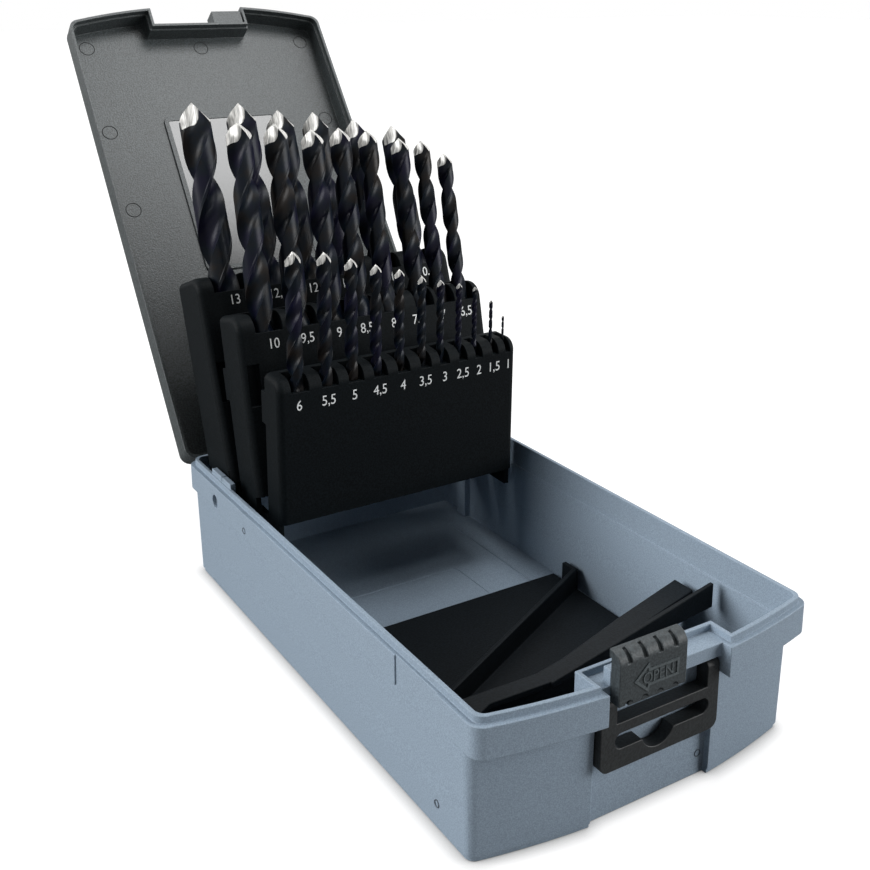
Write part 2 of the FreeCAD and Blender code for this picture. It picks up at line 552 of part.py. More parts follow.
racks = []
for kind, next_kind in (("large", None), ("medium", "large"), ("small", "medium")):
    solid, tools = rack(kind)
    if kind != "small":
        inner = {"large": "medium", "medium": "small"}[kind]
        tools.append(box(kind + "_pocket", "-%s_half - pocket_gap" % inner,
                         "-%s_half + knuckle_span + pocket_gap" % inner, kind + "_front - overrun",
                         "%s_front + %s_thickness + knuckle_reach + pocket_gap" % (inner, inner),
                         "knuckle_low - pocket_room", "knuckle_high + pocket_room"))
    if next_kind:
        back = "%s_front + %s_thickness" % (kind, kind)
        solid = fuse(kind + "_with_stop", solid,
                     box(kind + "_stop", "-%s_half" % kind, "-%s_half + knuckle_span" % kind,
                         back + " - pocket_gap", back + " + knuckle_reach", "knuckle_low",
                         "knuckle_high"))
    racks.append(cut("rack_" + kind, solid, *tools))
    placed(racks[-1], kind)


def drill_section(radius, core, level, turn):
    """Two lands on the full radius, joined by two hollows that reach in to the core."""
    land = mm("land_angle")
    half_turn = math.degrees(math.pi)

    def point(reach, degrees):
        angle = math.radians(degrees + turn)
        return Vector(reach * math.cos(angle), reach * math.sin(angle), level)

    edges = []
    for start in (0, half_turn):
        edges.append(Part.Arc(point(radius, start - land), point(radius, start),
                              point(radius, start + land)).toShape())
        edges.append(Part.Arc(point(radius, start + land), point(core, start + half_turn / 2),
                              point(radius, start + half_turn - land)).toShape())
    return Part.Wire(edges)


def twist_drill(stem):
    """A plain shank, a twisted body with two flutes, and a ground point."""
    diameter = mm(stem + "_diameter")
    length = mm(stem + "_length")
    point = diameter * mm("point_share")
    flute_start = length - mm(stem + "_flute")
    flute_end = length - point
    pitch = math.pi * diameter / math.tan(math.radians(mm("helix_angle")))
    whole_turn = 360 * (flute_end - flute_start) / pitch
    steps = max(4, math.ceil(whole_turn / mm("turn_step")))
    core = diameter * mm("web_share")
    sections = [drill_section(diameter / 2, core, flute_start + (flute_end - flute_start) * i / steps,
                              whole_turn * i / steps) for i in range(steps + 1)]
    body = Part.makeLoft(sections, True, False)
    chisel = mm("chisel_share")
    tip = Part.makeLoft([sections[-1], drill_section(diameter / 2 * chisel, core * chisel, length,
                                                     whole_turn)], True, True)
    shank = Part.makeCylinder(diameter / 2, flute_start)
    return shank.fuse([body, tip]).removeSplitter()


drills = []
for kind, rack_bits in bits.items():
    lean = FreeCAD.Rotation(Vector(1, 0, 0), -mm(kind + "_lean"))
    pivot = Vector(0, mm("pivot_place"), mm("pivot_height"))
    for (diameter, length, flute, seat), share in zip(rack_bits, place_shares[kind]):
        stem = bit_name(diameter).replace(".", "_")
        drill = doc.addObject("Part::Feature", "drill_" + stem)
        drill.Shape = twist_drill(stem)
        seat_point = Vector(share * mm(kind + "_half"), mm(kind + "_front") + mm(kind + "_hole_depth"),
                            mm(stem + "_seat"))
        drill.Placement = FreeCAD.Placement(pivot + lean.multVec(seat_point), lean)
        drill.Label = "drill_" + stem
        drills.append(drill)

# Tip guard: a plate on the floor with a slanting rib for the small drills, and
# a raised flange with a blade for the large ones
GUARD_FLOOR = "floor_thickness"


def wall(name, points, low, high):
    """An upright solid over a plan outline whose points are shares of the guard's size."""
    half, front, back = mm("guard_half"), mm("guard_front"), mm("guard_back")
    corners = [Vector(x * half, front + y * (back - front), mm(low) if isinstance(low, str) else low)
               for x, y in points]
    item = doc.addObject("Part::Feature", name)
    face = Part.Face(Part.makePolygon(corners + corners[:1]))
    item.Shape = face.extrude(Vector(0, 0, (mm(high) if isinstance(high, str) else high) - corners[0].z))
    return item


def ribbon(points, thickness_share):
    """A plan outline along a line of points, with a thickness towards the front."""
    return list(points) + [(x, y - thickness_share) for x, y in reversed(points)]


rear_edge_shares = ((-0.99, 0.197), (-0.357, 0.188), (-0.152, 0.209), (0.424, 0.300), (0.99, 0.380))
front_edge_shares = ((-0.99, 0.073), (-0.72, 0.139), (-0.331, 0.134), (0.219, 0.197), (0.99, 0.300))
blade_shares = ((-0.333, 0.143), (0.99, 0.230))
rib_shares = ((-0.99, 0.368), (0.99, 0.881))
guard_length = mm("guard_back") - mm("guard_front")
guard_plate = box("guard_plate", "-guard_half", "guard_half", "guard_front", "guard_back",
                  GUARD_FLOOR, GUARD_FLOOR + " + guard_sheet")
guard_parts = [
    guard_plate,
    wall("guard_rib", ribbon(rib_shares, mm("rib_wall") / guard_length), "floor_thickness",
         mm("floor_thickness") + mm("rib_rise")),
    wall("guard_flange", list(rear_edge_shares) + list(reversed(front_edge_shares)),
         mm("flange_top") - mm("flange_sheet"), "flange_top"),
    wall("guard_wall", ribbon(rear_edge_shares, mm("rib_wall") / guard_length), "floor_thickness",
         "flange_top"),
    box("guard_tab", "guard_half - rib_wall", "guard_half", "tab_front", "tab_top_back",
        GUARD_FLOOR, GUARD_FLOOR + " + rib_rise")]
blade_half, blade_front = mm("guard_half"), mm("guard_front")
blade = doc.addObject("Part::Feature", "guard_blade")
(ax, ay), (bx, by) = blade_shares
blade_line = [Vector(ax * blade_half, blade_front + ay * guard_length, mm("flange_top") - mm("flange_sheet")),
              Vector(bx * blade_half, blade_front + by * guard_length,
                     mm("flange_top") - mm("flange_sheet")),
              Vector(bx * blade_half, blade_front + by * guard_length, mm("blade_top")),
              Vector(ax * blade_half, blade_front + ay * guard_length, mm("flange_top"))]
blade.Shape = Part.Face(Part.makePolygon(blade_line + blade_line[:1])).extrude(
    Vector(0, -mm("blade_wall"), 0))
guard = fuse("tip_guard", blade, *guard_parts)

# Latch: a hood with ribs that slides along the rail and over the lid's catch
latch_block = box("latch_block", "latch_left", "latch_right", "latch_front", "latch_back", "latch_low",
                  "latch_top")


def front_top(point, edge):
    """True for the edge along the latch where its front meets its top."""
    return (point.z > mm("latch_top") - mm("latch_round")
            and point.y < mm("latch_front") + mm("latch_round")
            and abs(edge.tangentAt(edge.FirstParameter).x) > 0.9)


latch_hood = rounded("latch_hood", latch_block, "latch_round", front_top)
core_block = box("latch_core_block", "latch_left - overrun", "latch_right + overrun",
                 "latch_front + grip_depth", "latch_back + overrun", "latch_low - overrun",
                 "latch_top - grip_depth")
latch_core = rounded("latch_core", core_block, "latch_round",
                     front_top)
strips = []
teeth = []
for number in range(4):
    middle = "latch_left + grip_first + %d * grip_pitch" % number
    strips.append(box("grip_strip_%d" % number, middle + " - grip_width / 2",
                      middle + " + grip_width / 2", "latch_front - overrun",
                      "latch_front + grip_reach",
                      "grip_low", "latch_top + overrun"))
    teeth.append(rod("latch_tooth_%d" % number, "tooth_radius", "latch_front - overrun",
                     "latch_front + latch_wall / 2", middle, "latch_low", along="Y"))
grips = cut("grip_grooves", fuse("grip_strips", *strips), latch_core)
RAIL_GAP = RAIL_FACE + " - free_gap"
latch = cut("latch_hollow", latch_hood, grips,
            box("latch_room", "latch_left - overrun", "latch_right + overrun",
                "latch_front + latch_wall", "latch_back + overrun", "collar_top + free_gap",
                "latch_top - latch_plate"),
            box("latch_rail_room", "latch_left - overrun", "latch_right + overrun", RAIL_GAP,
                "latch_back + overrun", "latch_low - overrun", "collar_top + 2 * free_gap"), *teeth)
claws = [box("claw_low", "claw_left", "claw_right", "latch_front + latch_wall / 2",
             RAIL_FACE + " + claw_reach", "rail_low - free_gap - claw_thickness",
             "rail_low - free_gap"),
         box("claw_root", "claw_left", "claw_right", "latch_front + latch_wall / 2", RAIL_GAP,
             "rail_low - free_gap - claw_thickness", "rail_low + claw_thickness"),
         box("latch_hook", "hook_start", "hook_end", "latch_front + latch_wall / 2",
             RAIL_FACE + " + claw_reach", "collar_top + free_gap",
             "collar_top + free_gap + hook_height")]
end_wall = box("latch_end", "latch_left", "latch_left + latch_wall / 2",
               "latch_front + latch_wall / 2", RAIL_GAP, "latch_low", "latch_top - latch_plate / 2")
latch = fuse("latch_slider", latch, end_wall, *claws)

# Hanging loop: a frame with a window, a hanging slot and two stub axles
HANGER_FRONT = BAY_FACE + " - free_gap - hanger_thickness"
HANGER_BACK = BAY_FACE + " - free_gap"
plate = box("hanger_plate", "-hanger_half", "hanger_half", HANGER_FRONT, HANGER_BACK, "hanger_low",
            HANGER_Z + " + hanger_eye")
plate = rounded("hanger_eyes", plate, "hanger_eye",
                lambda p, e: p.z > mm("rail_low") - mm("hanger_axis_drop") + mm("free_gap")
                and abs(e.tangentAt(e.FirstParameter).x) > 0.9)
plate = rounded("hanger_feet", plate, "foot_radius",
                lambda p, e: p.z < mm("hanger_low") + mm("free_gap")
                and abs(e.tangentAt(e.FirstParameter).y) > 0.9)
hanger_cuts = [box("hanger_window", "window_left", "window_right", HANGER_FRONT + " - overrun",
                   HANGER_BACK + " + overrun", "window_low", "rail_low"),
               box("hanger_slot", "slot_left + (slot_high - slot_low) / 2",
                   "slot_right - (slot_high - slot_low) / 2", HANGER_FRONT + " - overrun",
                   HANGER_BACK + " + overrun", "slot_low", "slot_high")]
LOBE_RADIUS = "(lobe_right - lobe_left) / 2"
for slot_end in ("slot_left + (slot_high - slot_low) / 2", "slot_right - (slot_high - slot_low) / 2"):
    hanger_cuts.append(rod("slot_end_%d" % len(hanger_cuts), "(slot_high - slot_low) / 2",
                           HANGER_FRONT + " - overrun", HANGER_BACK + " + overrun", slot_end,
                           "(slot_low + slot_high) / 2", along="Y"))
lobe_round = rod("lobe_round", LOBE_RADIUS, HANGER_FRONT + " - overrun",
                 HANGER_BACK + " + overrun", "(lobe_left + lobe_right) / 2",
                 "lobe_low + " + LOBE_RADIUS, along="Y")
lobe_limit = box("lobe_limit", "lobe_left - overrun", "lobe_right + overrun",
                 HANGER_FRONT + " - 2 * overrun", HANGER_BACK + " + 2 * overrun",
                 "lobe_low - overrun", "(slot_low + slot_high) / 2")
hanger_cuts.append(common("hanger_lobe", lobe_round, lobe_limit))
stubs = []
for side, sign in (("left", -1), ("right", 1)):
    start, end = sided(sign, "hanger_half - stub_length", "hanger_half + stub_length")
    stubs.append(rod("stub_" + side, "stub_radius", start, end, HANGER_Y, HANGER_Z))
hanger = fuse("hanger", cut("hanger_frame", plate, *hanger_cuts), *stubs)

# The finished pieces, each under its own name
pieces = [tub, lid, label_frame, label_sheet, guard, latch, hanger] + pins + racks + drills
for piece in pieces:
    piece.Label = piece.Name
doc.recompute()
hinge = Vector(0, mm("case_back"), mm("hinge_height"))
opened = FreeCAD.Placement(hinge, FreeCAD.Rotation(Vector(1, 0, 0), -mm("lid_open_angle")), Vector())
opened = opened.multiply(FreeCAD.Placement(hinge.negative(), FreeCAD.Rotation()))
lid.Placement = opened
label_frame.Placement = opened
label_sheet.Placement = opened
doc.recompute()

# Every object must be sound before anything is written
for item in doc.Objects:
    if "Invalid" in item.State or "Error" in item.State:
        raise RuntimeError("%s failed: %s" % (item.Name, item.State))
for piece in pieces:
    if piece.Shape.isNull() or not piece.Shape.isValid() or len(piece.Shape.Solids) != 1:
        raise RuntimeError("%s is not one sound solid" % piece.Name)
os.makedirs("parts", exist_ok=True)
for piece in pieces:
    piece.Shape.exportStep("parts/%s.step" % piece.Label)
    print("%-22s volume %10.1f" % (piece.Label, piece.Shape.Volume))
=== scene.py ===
import json
import math

import bmesh
import bpy
import numpy as np
from mathutils import Matrix, Vector

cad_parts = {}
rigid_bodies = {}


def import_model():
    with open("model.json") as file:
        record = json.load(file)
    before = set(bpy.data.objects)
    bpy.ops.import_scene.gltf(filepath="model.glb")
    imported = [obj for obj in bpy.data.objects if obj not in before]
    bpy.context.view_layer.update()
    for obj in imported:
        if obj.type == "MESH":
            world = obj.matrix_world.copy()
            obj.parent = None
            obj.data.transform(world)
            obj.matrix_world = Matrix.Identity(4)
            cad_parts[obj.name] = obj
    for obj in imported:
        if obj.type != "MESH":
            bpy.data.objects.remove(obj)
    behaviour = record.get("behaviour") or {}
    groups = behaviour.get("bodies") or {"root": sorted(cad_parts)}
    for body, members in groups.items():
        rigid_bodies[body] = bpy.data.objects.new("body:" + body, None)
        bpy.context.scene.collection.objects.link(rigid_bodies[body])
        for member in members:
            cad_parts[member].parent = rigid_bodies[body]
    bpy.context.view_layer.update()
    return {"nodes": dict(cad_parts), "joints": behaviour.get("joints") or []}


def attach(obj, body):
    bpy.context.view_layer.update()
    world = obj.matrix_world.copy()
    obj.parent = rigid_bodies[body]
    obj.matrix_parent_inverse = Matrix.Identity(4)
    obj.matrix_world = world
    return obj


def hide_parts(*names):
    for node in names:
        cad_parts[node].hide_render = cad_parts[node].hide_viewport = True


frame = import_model()

# The tub. An injection moulded tray of blue grey plastic with a fine even grain,
# drafted walls, a wider collar round its mouth and softly broken edges.
tub_colour = (0.255, 0.320, 0.392)
tub_edge = 0.0003
crease_angle = math.radians(32)
flat_angle = math.radians(0.6)
weld_distance = 2e-6


def moulded(node, body, edge):
    """A moulded piece over a CAD node: the node's triangles merged into whole faces,
    then every edge sharper than the crease angle rounded by a two step bevel."""
    source = frame["nodes"][node].data
    places = np.empty(3 * len(source.vertices))
    source.vertices.foreach_get("co", places)
    corners = np.empty(len(source.loops), dtype=np.int32)
    source.loops.foreach_get("vertex_index", corners)
    mesh = bpy.data.meshes.new(node + "_moulded")
    mesh.from_pydata(places.reshape(-1, 3).tolist(), [], corners.reshape(-1, 3).tolist())
    work = bmesh.new()
    work.from_mesh(mesh)
    bmesh.ops.remove_doubles(work, verts=work.verts, dist=weld_distance)
    bmesh.ops.dissolve_limit(work, angle_limit=flat_angle, verts=work.verts, edges=work.edges)
    work.to_mesh(mesh)
    work.free()
    mesh.shade_smooth()
    mesh.set_sharp_from_angle(angle=crease_angle)
    piece = bpy.data.objects.new(node + "_moulded", mesh)
    bpy.context.scene.collection.objects.link(piece)
    rounding = piece.modifiers.new("broken_edges", "BEVEL")
    rounding.width = edge
    rounding.segments = 2
    rounding.limit_method = "ANGLE"
    rounding.angle_limit = crease_angle
    rounding.offset_type = "WIDTH"
    rounding.use_clamp_overlap = False
    flats = piece.modifiers.new("flat_faces", "WEIGHTED_NORMAL")
    flats.keep_sharp = True
    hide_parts(node)
    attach(piece, body)
    return piece


def grained_plastic(name, colour, roughness, grain, relief, mottle, gloss):
    """Plastic with a spark eroded grain: noise on Object coordinates, grain cells to the
    metre, lightens and darkens the colour by mottle and raises it by relief in metres.
    Noise under the low mark is darkest and over the high mark lightest."""
    low_mark, high_mark = 0.36, 0.64
    plastic = bpy.data.materials.new(name)
    plastic.use_nodes = True
    nodes, links = plastic.node_tree.nodes, plastic.node_tree.links
    shader = nodes["Principled BSDF"]
    shader.inputs["Roughness"].default_value = roughness
    shader.inputs["Specular IOR Level"].default_value = gloss
    place = nodes.new("ShaderNodeTexCoord")
    cells = nodes.new("ShaderNodeTexNoise")
    cells.inputs["Scale"].default_value = grain
    cells.inputs["Detail"].default_value = 2.0
    tint = nodes.new("ShaderNodeValToRGB")
    tint.color_ramp.elements[0].position = low_mark
    tint.color_ramp.elements[1].position = high_mark
    tint.color_ramp.elements[0].color = (*(c * (1 - mottle) for c in colour), 1)
    tint.color_ramp.elements[1].color = (*(c * (1 + mottle) for c in colour), 1)
    raised = nodes.new("ShaderNodeBump")
    raised.inputs["Strength"].default_value = 1.0
    raised.inputs["Distance"].default_value = relief
    links.new(place.outputs["Object"], cells.inputs["Vector"])
    links.new(cells.outputs["Fac"], tint.inputs["Fac"])
    links.new(tint.outputs["Color"], shader.inputs["Base Color"])
    links.new(cells.outputs["Fac"], raised.inputs["Height"])
    links.new(raised.outputs["Normal"], shader.inputs["Normal"])
    return plastic


tub_plastic = grained_plastic("tub_blue_grey", tub_colour, 0.5, 2600, 0.00004, 0.14, 0.22)
tub = moulded("case_tub", "tub", tub_edge)
tub.data.materials.append(tub_plastic)

# Marks that the mould leaves on the tub, where plastic was fed or pushed out. Each is
# a shallow ring that stands half sunk in the wall, coloured darker than the tub as
# painted shade for the dimple that the mark makes.
mark_radius = 0.0011
mark_rise = 0.00022
mark_shade_factor = 0.35
tub_marks = [((-0.0630, 0.0484, 0.0404), (-1, 0, 0)), ((-0.0609, -0.0840, 0.0092), (-1, 0, 0)),
             ((0.0205, -0.1044, 0.0072), (0, -1, 0))]


def surface(name, grid, body, material, closed_u=True, closed_v=True):
    """A mesh over a grid of points: the rows run along u and the columns along v, and
    either way may close on itself. Faces point to the left of v seen along u."""
    rows, columns = grid.shape[:2]
    u = np.arange(rows if closed_u else rows - 1)[:, None]
    v = np.arange(columns if closed_v else columns - 1)[None, :]
    next_u, next_v = (u + 1) % rows, (v + 1) % columns
    quads = np.stack([u * columns + v, next_u * columns + v, next_u * columns + next_v,
                      u * columns + next_v], axis=-1).reshape(-1, 4)
    mesh = bpy.data.meshes.new(name)
    mesh.from_pydata(grid.reshape(-1, 3).tolist(), [], quads.tolist())
    mesh.shade_smooth()
    mesh.materials.append(material)
    piece = bpy.data.objects.new(name, mesh)
    bpy.context.scene.collection.objects.link(piece)
    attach(piece, body)
    return piece


def ring(name, centre, facing, radius, rise, body, material):
    """A round bead on a wall: a circle of radius carried round centre in the plane that
    faces along facing, with a half sunk circle of radius rise as its section."""
    around_steps, section_steps = 40, 8
    out = np.array(Vector(facing).normalized())
    side = np.array(Vector(facing).orthogonal().normalized())
    up = np.cross(out, side)
    around = np.linspace(0, 2 * math.pi, around_steps, endpoint=False)[:, None, None]
    section = np.linspace(0, 2 * math.pi, section_steps, endpoint=False)[None, :, None]
    spoke = np.cos(around) * side + np.sin(around) * up
    grid = (np.array(centre) + spoke * (radius + rise * np.cos(section))
            + out * rise * np.sin(section))
    return surface(name, grid, body, material)


# The marks' colour is the tub's colour darkened: painted shade, not a colour of the plastic.
mark_shaded_plastic = grained_plastic("tub_mark_shade", tuple(c * mark_shade_factor for c in tub_colour), 0.6,
                               2600, 0.00002, 0.05, 0.3)
for number, (centre, facing) in enumerate(tub_marks):
    mark = ring("tub_mark_%d" % number, centre, facing, mark_radius, mark_rise, "tub", mark_shaded_plastic)

# The tip guard. A black moulded tray that drops into the front of the tub, with a
# slanting rib for the small drills' tips and a raised shelf for the large ones.
guard_edge = 0.0004
guard_plastic = grained_plastic("guard_black", (0.006, 0.008, 0.010), 0.5, 1500, 0.00005, 0.35,
                                0.10)
guard = moulded("tip_guard", "tub", guard_edge)
guard.data.materials.append(guard_plastic)

# The four hinge pins. Plain drawn steel rod, pressed into the tub.
pin_steel = bpy.data.materials.new("pin_drawn_steel")
pin_steel.use_nodes = True
pin_nodes, pin_links = pin_steel.node_tree.nodes, pin_steel.node_tree.links
pin_shader = pin_nodes["Principled BSDF"]
pin_shader.inputs["Base Color"].default_value = (0.35, 0.36, 0.37, 1)
pin_shader.inputs["Metallic"].default_value = 1.0
pin_place = pin_nodes.new("ShaderNodeTexCoord")
pin_drawing = pin_nodes.new("ShaderNodeMapping")
pin_drawing.inputs["Scale"].default_value = (80, 4000, 4000)
pin_lines = pin_nodes.new("ShaderNodeTexNoise")
pin_lines.inputs["Scale"].default_value = 1.0
pin_finish = pin_nodes.new("ShaderNodeMapRange")
pin_finish.inputs["To Min"].default_value = 0.25
pin_finish.inputs["To Max"].default_value = 0.5
pin_links.new(pin_place.outputs["Object"], pin_drawing.inputs["Vector"])
pin_links.new(pin_drawing.outputs["Vector"], pin_lines.inputs["Vector"])
pin_links.new(pin_lines.outputs["Fac"], pin_finish.inputs["Value"])
pin_links.new(pin_finish.outputs["Result"], pin_shader.inputs["Roughness"])
for pin in ("lid_pin_left", "lid_pin_right", "rack_pin_left", "rack_pin_right"):
    pin_mesh = frame["nodes"][pin].data
    if not pin_mesh.materials:
        pin_mesh.materials.append(pin_steel)
    for pin_slot in frame["nodes"][pin].material_slots:
        pin_slot.material = pin_steel

# The three racks. Black moulded blocks on one pair of pivots, with a socket and a
# notch for each drill, and a printed white number below each notch.
rack_plastic = grained_plastic("rack_black", (0.0035, 0.0050, 0.0060), 0.55, 1700, 0.00006, 0.4,
                               0.06)
rack_edge = 0.00025
pivot = np.array((0.0, 0.0772, 0.0410))
number_height = 0.0040
number_width = 0.88
print_thickness = 0.00006
racks = {
    "large": {"lean": 19.26, "front": -0.0062, "level": 0.07675,
              "numbers": {"13": -42.9, "12,5": -24.4, "12": -8.7, "11,5": 8.4, "11": 27.3,
                          "10,5": 45.2}},
    "medium": {"lean": 12.0, "front": -0.0245, "level": 0.0601,
               "numbers": {"10": -40.5, "9,5": -26.4, "9": -12.8, "8,5": -0.6, "8": 11.6,
                           "7,5": 23.1, "7": 34.7, "6,5": 45.9}},
    "small": {"lean": -1.41, "front": -0.0378, "level": 0.0489,
              "numbers": {"6": -43.5, "5,5": -31.6, "5": -20.9, "4,5": -10.1, "4": -0.2,
                          "3,5": 9.7, "3": 18.4, "2,5": 26.7, "2": 34.2, "1,5": 41.3,
                          "1": 48.1}},
}


def lettering(name, words, height, width, thickness, across, up, body, material):
    """Words on a plane, as one thin mesh: a glyph point (x, y, z) goes to the word's
    centre + across * x + up * y + outward * z, with z between the two faces. Capitals
    are 0.72 of the font's size, and the letters stand a fifth of their thickness deep."""
    capital_share, half_thickness, stand_off = 0.72, 0.5, 0.3
    across, up = np.array(across), np.array(up)
    outward = np.cross(across, up)
    places, faces, start = [], [], 0
    for word, centre in words.items():
        outline = bpy.data.curves.new(name, "FONT")
        outline.body = word
        outline.align_x = "CENTER"
        outline.extrude = half_thickness
        outline.resolution_u = 4
        holder = bpy.data.objects.new(name, outline)
        glyphs = bpy.data.meshes.new_from_object(holder)
        points = np.empty(3 * len(glyphs.vertices))
        glyphs.vertices.foreach_get("co", points)
        points = points.reshape(-1, 3)
        scale = height / capital_share
        places.append(np.array(centre) + across * (points[:, :1] * scale * width)
                      + up * (points[:, 1:2] * scale - height / 2)
                      + outward * (points[:, 2:] + stand_off) * thickness)
        faces += [[start + corner for corner in face.vertices] for face in glyphs.polygons]
        start += len(points)
        bpy.data.objects.remove(holder)
    mesh = bpy.data.meshes.new(name)
    mesh.from_pydata(np.concatenate(places).tolist(), [], faces)
    mesh.materials.append(material)
    piece = bpy.data.objects.new(name, mesh)
    bpy.context.scene.collection.objects.link(piece)
    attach(piece, body)
    return piece


number_ink = grained_plastic("number_white_ink", (0.80, 0.82, 0.82), 0.5, 3000, 0.00001, 0.04, 0.3)
for kind, shape in racks.items():
    rack = moulded("rack_" + kind, "rack_" + kind, rack_edge)
    rack.data.materials.append(rack_plastic)
    lean = math.radians(shape["lean"])
    rack_up = np.array((0.0, math.sin(lean), math.cos(lean)))
    rack_back = np.array((0.0, math.cos(lean), -math.sin(lean)))
    line = pivot + rack_back * shape["front"] + rack_up * shape["level"]
    words = {word: line + np.array((x / 1000, 0, 0)) for word, x in shape["numbers"].items()}
    numbers = lettering("rack_numbers_" + kind, words, number_height, number_width,
                        print_thickness, (1, 0, 0), rack_up, "rack_" + kind, number_ink)

# The twenty-five twist drills. High speed steel, milled with two helical flutes,
# steam blued, then ground bright at the point with two relieved facets and a gash at
# each cutting edge. Lengths are in diameters and angles in degrees.
helix_pitch = 5.44
straight_turn = 35.0
land_half = 38.0
margin_start = 26.0
core_share = 0.34
land_drop = 0.972
point_slope = 0.5
relief_slope = 0.95
flute_start_length = 1.2
tip_length = 1.2
foot_chamfer = 0.02
ring_spacing = 0.16
gash_height = 0.62
gash_step = 0.01
gash_lip = 0.002
gash_middle = 55.0
gash_spread = 60.0
gash_depth = 0.03
drill_crease = math.radians(28)
tip_turns = {"rack_large": 47.5, "rack_medium": 28.0, "rack_small": 40.0}


def blued_steel():
    """Steam blued steel: near black, with faint brown and blue patches of two noises on
    Object coordinates, and a low satin shine."""
    steel = bpy.data.materials.new("drill_blued_steel")
    steel.use_nodes = True
    nodes, links = steel.node_tree.nodes, steel.node_tree.links
    shader = nodes["Principled BSDF"]
    shader.inputs["Metallic"].default_value = 0.1
    shader.inputs["Specular IOR Level"].default_value = 0.14
    place = nodes.new("ShaderNodeTexCoord")
    patches = nodes.new("ShaderNodeTexNoise")
    patches.inputs["Scale"].default_value = 90.0
    patches.inputs["Detail"].default_value = 3.0
    tint = nodes.new("ShaderNodeValToRGB")
    tint.color_ramp.elements[0].position = 0.38
    tint.color_ramp.elements[0].color = (0.004, 0.004, 0.014, 1)
    tint.color_ramp.elements[1].position = 0.66
    tint.color_ramp.elements[1].color = (0.010, 0.008, 0.007, 1)
    middle = tint.color_ramp.elements.new(0.52)
    middle.color = (0.003, 0.006, 0.010, 1)
    scale = nodes.new("ShaderNodeTexNoise")
    scale.inputs["Scale"].default_value = 1400.0
    finish = nodes.new("ShaderNodeMapRange")
    finish.inputs["To Min"].default_value = 0.26
    finish.inputs["To Max"].default_value = 0.46
    raised = nodes.new("ShaderNodeBump")
    raised.inputs["Distance"].default_value = 0.00002
    for noise in (patches, scale):
        links.new(place.outputs["Object"], noise.inputs["Vector"])
    links.new(patches.outputs["Fac"], tint.inputs["Fac"])
    links.new(tint.outputs["Color"], shader.inputs["Base Color"])
    links.new(scale.outputs["Fac"], finish.inputs["Value"])
    links.new(finish.outputs["Result"], shader.inputs["Roughness"])
    links.new(scale.outputs["Fac"], raised.inputs["Height"])
    links.new(raised.outputs["Normal"], shader.inputs["Normal"])
    return steel


def ground_steel():
    """Freshly ground steel: bright, with fine parallel wheel lines from a noise that is
    stretched along one way of the Object coordinates. The light grey colour with little
    metal is bare steel and also a painted reflection of bright surroundings, so the
    facets light up at any angle."""
    steel = bpy.data.materials.new("drill_ground_steel_painted_reflection")
    steel.use_nodes = True
    nodes, links = steel.node_tree.nodes, steel.node_tree.links
    shader = nodes["Principled BSDF"]
    shader.inputs["Metallic"].default_value = 0.15
    place = nodes.new("ShaderNodeTexCoord")
    wheel = nodes.new("ShaderNodeMapping")
    wheel.inputs["Rotation"].default_value = (0.3, 0.5, 0.6)
    wheel.inputs["Scale"].default_value = (2600, 220, 220)
    lines = nodes.new("ShaderNodeTexNoise")
    lines.inputs["Scale"].default_value = 1.0
    # Light grey with little metal: bare steel's tone plus a painted reflection of bright
    # surroundings.
    tint = nodes.new("ShaderNodeValToRGB")
    tint.color_ramp.elements[0].position = 0.35
    tint.color_ramp.elements[0].color = (0.30, 0.30, 0.29, 1)
    tint.color_ramp.elements[1].position = 0.62
    tint.color_ramp.elements[1].color = (0.74, 0.73, 0.70, 1)
    finish = nodes.new("ShaderNodeMapRange")
    finish.inputs["To Min"].default_value = 0.26
    finish.inputs["To Max"].default_value = 0.42
    links.new(place.outputs["Object"], wheel.inputs["Vector"])
    links.new(wheel.outputs["Vector"], lines.inputs["Vector"])
    links.new(lines.outputs["Fac"], tint.inputs["Fac"])
    links.new(tint.outputs["Color"], shader.inputs["Base Color"])
    links.new(lines.outputs["Fac"], finish.inputs["Value"])
    links.new(finish.outputs["Result"], shader.inputs["Roughness"])
    return steel


def flute_section():
    """One round of the drill's section at radius 1: angles and reaches. A land spans 38
    degrees either way at full reach on its leading margin and a little less
    behind it. Between the lands each flute is an arc that passes through both land edges
    and comes in to the core. Next is how far a point has dropped behind its cutting
    edge, from 0 at the edge to 1 at the heel. Last is the gash that thins the point: an
    ellipse on both sides of the cutting edge, 0 outside it and 1 at its middle."""
    land = np.array([-land_half, -28, -16, -4, 8, 18, margin_start - 1, margin_start + 1, 32,
                     land_half])
    flute_points = 25
    flute = np.linspace(land_half, 180 - land_half, flute_points + 2)[1:-1]
    edge = math.radians(land_half)
    middle = (1 - core_share ** 2) / (2 * (math.sin(edge) - core_share))
    power = middle ** 2 - (middle - core_share) ** 2
    lift = middle * np.sin(np.radians(flute))
    land_reach = np.where(land < margin_start, land_drop, 1.0)
    flute_reach = lift - np.sqrt(np.maximum(lift ** 2 - power, 0))
    angles = np.concatenate([land, flute])
    reaches = np.concatenate([land_reach, flute_reach])
    drops = np.concatenate([(land_half - land) / (2 * land_half),
                            (flute - land_half) / (180 - 2 * land_half)])
    gash = np.sqrt(np.maximum(1 - ((angles - gash_middle) / gash_spread) ** 2, 0))
    return (np.radians(np.concatenate([angles, angles + 180])), np.tile(reaches, 2),
            np.tile(drops, 2), np.tile(gash, 2))


